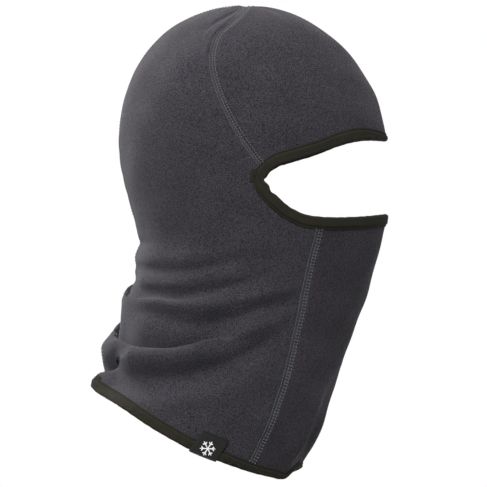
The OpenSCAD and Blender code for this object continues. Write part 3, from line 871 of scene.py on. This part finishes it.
def tape_tail(name, path, width, node):
    """The end of a tape that shows past its edge where its two ends lap."""
    span = width + TAIL_REACH
    at = strip(path, span, False)
    n = len(path)
    soft = np.sin(np.linspace(0, math.pi, n)) ** 0.35
    rows = [at((width - TAIL_LAP + TAIL_WIDTH * t) / span, 0.1 + soft * h) for t, h in TAIL_SECTION]
    rings = np.array(rows).transpose(1, 0, 2)
    m = rings.shape[1]
    caps = np.array([np.arange(m)[::-1], (n - 1) * m + np.arange(m)])
    uv = np.stack(np.meshgrid(np.arange(n) * 0.6, np.arange(m) * 0.5, indexing="ij"), -1) * MM
    piece(name, rings.reshape(-1, 3), [quads(n, m, loop_columns=True), caps], TAPE_MATERIAL, "tape", [node],
          uv=uv.reshape(-1, 2))


tape_tail("tape_join_face", opening_path(FACE_TAIL + np.linspace(-FACE_TAIL_HALF, FACE_TAIL_HALF, 17)),
          FACE_WIDTH, "face_binding_join")
tape_tail("tape_join_hem", hem_path(HEM_TAIL - np.linspace(-HEM_TAIL_HALF, HEM_TAIL_HALF, 13)), HEM_WIDTH,
          "hem_binding_join")

# ---- flatlock seams ----

FINE_PITCH, WIDE_PITCH = 2.2, 2.4
STITCH_SHARE = 0.66
NEEDLE_HEIGHT, NEEDLE_ARCH = 0.16, 0.2
COVER_HEIGHT = 0.08
LOOPER_HEIGHT, LOOPER_RADIUS = -FLEECE - 0.3, 0.15
SEAM_START = 0.6


def under_row(distance):
    """Height of the fleece a distance beside a seam's middle, from the middle itself."""
    return seam_dip(distance) - seam_dip(0 * distance) - distance ** 2 / 150


def flatlock(name, run, rows, node, pitch, cover):
    """The three threads of a seam. rows are its needle rows as (place across the seam, radius)."""
    parts = [stitches(run, pitch, pitch * STITCH_SHARE, size, side,
                      NEEDLE_HEIGHT + float(under_row(np.array(side))), NEEDLE_ARCH, SEAM_START)
             for side, size in rows]
    piece(name + "_needle", *joined(parts), THREAD_GREY, "grey_thread", [node + "_needle_threads"])
    half = max(abs(side) for side, _ in rows)
    thread = zigzag(run, pitch, half, lambda d: COVER_HEIGHT + under_row(d), cover, SEAM_START)
    piece(name + "_cover", *thread, THREAD_COVER, "grey_thread", [node + "_cover_thread"])
    thread = zigzag(run, pitch, half, lambda d: LOOPER_HEIGHT + under_row(d), LOOPER_RADIUS, SEAM_START)
    piece(name + "_looper", *thread, THREAD_COVER, "grey_thread", [node + "_looper_thread"])


def run_of(*charts):
    places, outward = zip(*[surface(chart)[:2] for chart in charts])
    return Run(np.concatenate(places), np.concatenate(outward))


EVEN_ROWS = [(-2.6, .2), (-.2, .18), (2.6, .2)]
crown_to_corner = along(FOREHEAD_SEAM, np.linspace(0.012, 0.97, 320))
flatlock("seam_forehead", run_of(crown_to_corner[::-1], crown_to_corner * np.array([-1, 1])),
         [(-2.2, .17), (-.1, .18), (2, .1)], "forehead_seam", FINE_PITCH, 0.08)
chin = along(CHIN_SEAM, np.linspace(0.045, 0.965, 260))
flatlock("seam_chin_right", run_of(chin * np.array([-1, 1])), EVEN_ROWS, "chin_seam_right", WIDE_PITCH, 0.14)
flatlock("seam_chin_left", run_of(chin), EVEN_ROWS, "chin_seam_left", WIDE_PITCH, 0.14)
back_u = np.linspace(0.012, 0.98, 420)
back_heights = np.where(back_u < 0.5, dome_height(back_u * 2, BACK_AT_BROW),
                        mix(BACK_AT_BROW, smooth(HEM_EDGE, 180), back_u * 2 - 1))
flatlock("seam_back", run_of(np.stack([np.full_like(back_u, 180), back_heights], -1)), EVEN_ROWS, "back_seam",
         WIDE_PITCH, 0.14)

# ---- labels ----

LABEL_ANGLE = 83.5
LABEL_LENGTH, LABEL_HEIGHT = 21.4, 16.2
LABEL_LIFT = 1.45
LABEL_THICK = 0.5
# How far the label's fold stands past the hem, and how its stitches hold its edge down: share and reach
LABEL_PAST = 3.0
LABEL_SETTLE, SETTLE_REACH = 0.55, 3.2
# Its outer face, as (distance from the stitched edge, height)
LABEL_FACE = [(0, -.45), (.12, -.14), (.5, 0), (1.0, -.12), (1.5, 0), (3, .02), (5, .04), (7, .04), (9, .02),
              (11, 0), (13, -.02), (14.6, -.02)]
# Millimetres along the hem to a degree
HEM_PER_DEGREE = 1.42
# Height of the emblem's middle above the hem's edge
EMBLEM_PLACE = 4.4
# How far the label's stitched edge stands ahead of its fold
LABEL_LEAN = 3.4


def woven_label():
    """The ribbon folded over the hem. Gives its strip, and how far out its two faces lie."""
    n = 31
    reach = np.linspace(0.5, -0.5, n) * LABEL_LENGTH / HEM_PER_DEGREE
    upright = strip(hem_path(-LABEL_ANGLE + reach), LABEL_HEIGHT, False, 14)
    places = upright(0.5, 0)
    forward = unit(places[0] - places[-1])

    def at(share, height, past=0.0):
        return upright(share, height, past) + forward * LABEL_LEAN * (share - 0.25)

    side = np.abs(np.linspace(-1, 1, n))
    edge = -0.18 * side ** 8
    outer, inner = [], []
    top = LABEL_LIFT + LABEL_THICK
    low = -FLEECE - top
    middle, half = (top + low) / 2, (top - low) / 2
    for inset, dip in LABEL_FACE:
        settle = 1 - LABEL_SETTLE * bump(inset, SETTLE_REACH)
        outer.append(at(1 - inset / LABEL_HEIGHT, top * settle + dip + edge))
        inner.append(at(1 - inset / LABEL_HEIGHT, top * settle + dip + edge - LABEL_THICK))
    for turn in np.linspace(80, -80, 13) * DEGREE:
        outer.append(at(0, middle + (half + edge) * math.sin(turn), LABEL_PAST * math.cos(turn) + edge))
        inner.append(at(0, middle + (half - LABEL_THICK + edge) * math.sin(turn),
                        (LABEL_PAST - LABEL_THICK) * math.cos(turn) + edge))
    for inset in (14.5, 11, 7, 3, .5, 0):
        outer.append(at(1 - inset / LABEL_HEIGHT, low - edge))
        inner.append(at(1 - inset / LABEL_HEIGHT, low + LABEL_THICK - edge))
    outer, inner = np.array(outer), np.array(inner)
    down = np.cumsum(np.concatenate([[0], np.linalg.norm(np.diff(outer[:, n // 2], axis=0), axis=1)]))
    uv = np.stack(np.meshgrid(down, np.linspace(0, LABEL_LENGTH, n), indexing="ij"), -1).reshape(-1, 2) * MM
    piece("ribbon_label", *shell(outer, inner), RIBBON, "label_ribbon", ["woven_label"],
          uv=np.concatenate([uv, uv]))
    return at, top, low


label_at, label_top, label_low = woven_label()


def label_runs():
    """Runs along the label's stitched edge, outside and inside."""
    share = 1 - 1.0 / LABEL_HEIGHT
    for height, arch in ((label_top - 0.85, 0.15), (label_low - 0.02, -0.15)):
        places = label_at(share, height)
        outward = unit(label_at(share, height + 1) - places)
        yield Run(places, outward), arch


label_threads = joined([stitches(run, 2.4, 2.0, 0.17, 0, 0, arch, 0.8) for run, arch in label_runs()])
piece("stitch_label", *label_threads, THREAD_DARK, "dark_thread", ["label_stitches"])


ARM, BRANCH_AT, BRANCH, BRANCH_LEAN = 6.0, 3.6, 2.0, 55


def snowflake():
    """A plain six-armed snowflake in raised satin stitch."""
    half_ring = 15
    share = EMBLEM_PLACE / LABEL_HEIGHT
    centre = label_at(share, label_top)[half_ring]
    out = unit(label_at(share, label_top + 1)[half_ring] - centre)
    away = unit(label_at(share + 0.1, label_top)[half_ring] - centre)
    beside = np.cross(away, out)
    bars = []
    for arm in range(6):
        turn = (arm * 60 + 30) * DEGREE
        tip = np.array([math.cos(turn), math.sin(turn)])
        bars.append((0 * tip, tip * ARM))
        for lean in (-BRANCH_LEAN, BRANCH_LEAN):
            branch = np.array([math.cos(turn + lean * DEGREE), math.sin(turn + lean * DEGREE)])
            bars.append((tip * BRANCH_AT, tip * BRANCH_AT + branch * BRANCH))
    parts = []
    for start, end in bars:
        t = np.linspace(0, 1, 9)[:, None]
        flat = mix(start[None], end[None], t)
        height = 0.1 - flat[:, :1] ** 2 / 140
        centres = centre + beside * flat[:, :1] + away * flat[:, 1:] + out * height
        size = 0.46 * np.sin(math.pi * np.clip(t[:, 0] * 0.9 + 0.05, 0, 1)) ** 0.3
        parts.append(tube(centres, size, np.broadcast_to(out, centres.shape), 8, 0.55))
    piece("emblem_snowflake", *joined(parts), THREAD_WHITE, "white_thread", ["label_emblem"])


snowflake()

# How far the care label curls at its foot, cups across and waves
CARE_CURL, CARE_CUP, CARE_WAVE = 3.6, 1.3, 0.3


def frame_box(name):
    return (np.array(corner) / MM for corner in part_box(name))


def care_label():
    """The blank care label, curling a little where it hangs free."""
    low, high = frame_box("care_label")
    v, u = np.meshgrid(np.linspace(0, 1, 37), np.linspace(-1, 1, 23), indexing="ij")
    half = (high[1] - low[1]) / 2
    x = high[0] + CARE_CURL * v ** 2 + CARE_CUP * v ** 2 * u ** 2 + CARE_WAVE * np.sin(v * 7 + u)
    x -= CARE_WAVE * np.sin(u) * (1 - v) ** 6
    y = u * half * (1 - 0.01 * v)
    z = mix(high[2], low[2], v) + 0.3 * v * u ** 2
    places = np.stack([x, y, z], -1)
    outward = unit(np.cross(np.gradient(places, axis=0), np.gradient(places, axis=1)))
    thick = high[0] - low[0]
    sheet = shell(places - outward * thick / 2, places + outward * thick / 2)
    uv = np.stack([y, z], -1).reshape(-1, 2) * MM
    piece("ribbon_care", *sheet, SATIN, "care_ribbon", ["care_label"], body="care_label",
          uv=np.concatenate([uv, uv]))


care_label()


def care_tie():
    """The bar of satin stitches that holds the care label to the back seam."""
    low, high = frame_box("care_label_stitches")
    parts = []
    for y in np.linspace(low[1] + 0.3, high[1] - 0.3, 25):
        t = np.linspace(0, 1, 8)
        x = mix(low[0], high[0], np.sin(math.pi * t) * 0.6 + 0.2)
        z = mix(high[2], low[2] - 0.5, t)
        centres = np.stack([x, np.full_like(t, y), z], -1)
        parts.append(tube(centres, 0.24, np.broadcast_to(np.array([0.0, 1, 0]), centres.shape), 6))
    piece("stitch_care", *joined(parts), THREAD_WHITE, "white_thread", ["care_label_stitches"])


care_tie()

# ---- floor, light and camera ----

FLOOR_DEPTH = -0.45
FLOOR_RADIUS, FLOOR_SIDES = 4.0, 96
VIEW_WIDTH = 0.36525
VIEW_DISTANCE = 6.0
VIEW_MIDDLE = (-0.0071, -0.0491)
SENSOR = 36.0
# The room is a white backdrop to the eye, and lights the hood mostly from above
ROOM_BY_HEIGHT = [(0.0, grey(0.12)), (0.35, grey(0.25)), (0.5, grey(0.6)), (0.65, grey(0.9)),
                  (1.0, grey(0.8))]
# Each lamp's place, size, watts and colour
LAMPS = {"key": ((-2.1, 1.6, 2.5), 1.3, 170, (1.0, 0.985, 1.0)),
         "front": ((-0.6, -2.3, 2.1), 1.2, 145, (1, 0.99, 0.98))}
LAMP_AIM = (0.0, 0.0, -0.05)


def floor():
    turn = np.arange(FLOOR_SIDES) * 2 * math.pi / FLOOR_SIDES
    ring = np.stack([np.cos(turn), np.sin(turn), 0 * turn], -1) * FLOOR_RADIUS
    ring[:, 2] = FLOOR_DEPTH
    mesh = bpy.data.meshes.new("floor")
    mesh.from_pydata(ring.tolist(), [], [list(range(FLOOR_SIDES))])
    material, _, shader = node_tree("floor_pale")
    settle(shader, {"Base Color": (0.86, 0.86, 0.87, 1), "Roughness": 0.9})
    mesh.materials.append(material)
    obj = placed("floor", mesh)
    obj.visible_diffuse = False


def light(name, place, size, power, colour):
    data = bpy.data.lights.new(name, "AREA")
    data.energy = power
    data.size = size
    data.color = colour
    obj = placed(name, data)
    obj.location = place
    aim = np.array(LAMP_AIM) - np.array(place)
    flat = math.hypot(aim[0], aim[1])
    obj.rotation_euler = (math.atan2(flat, -aim[2]), 0, math.atan2(aim[1], aim[0]) - math.pi / 2)


def studio():
    world = bpy.data.worlds.new("studio")
    bpy.context.scene.world = world
    world.use_nodes = True
    tree = world.node_tree
    nodes, links = tree.nodes, tree.links
    backdrop = nodes["Background"]
    backdrop.inputs["Color"].default_value = (1, 1, 1, 1)
    room = nodes.new("ShaderNodeBackground")
    parts = nodes.new("ShaderNodeSeparateXYZ")
    links.new(coordinates(tree, "Generated"), parts.inputs["Vector"])
    height = nodes.new("ShaderNodeMapRange")
    height.inputs["From Min"].default_value = -1
    links.new(parts.outputs["Z"], height.inputs["Value"])
    links.new(ramp(tree, height.outputs["Result"], ROOM_BY_HEIGHT), room.inputs["Color"])
    seen = nodes.new("ShaderNodeLightPath")
    both = nodes.new("ShaderNodeMixShader")
    links.new(seen.outputs["Is Camera Ray"], both.inputs["Fac"])
    links.new(room.outputs["Background"], both.inputs[1])
    links.new(backdrop.outputs["Background"], both.inputs[2])
    links.new(both.outputs["Shader"], nodes["World Output"].inputs["Surface"])
    for name, form in LAMPS.items():
        light(name, *form)
    bpy.context.scene.view_settings.view_transform = "Standard"


def camera():
    data = bpy.data.cameras.new("camera")
    data.sensor_width = SENSOR
    data.lens = SENSOR * VIEW_DISTANCE / VIEW_WIDTH
    data.clip_end = 40
    obj = placed("camera", data)
    obj.location = (VIEW_MIDDLE[0], -VIEW_DISTANCE, VIEW_MIDDLE[1])
    obj.rotation_euler = (math.pi / 2, 0, 0)
    bpy.context.scene.camera = obj


floor()
studio()
camera()
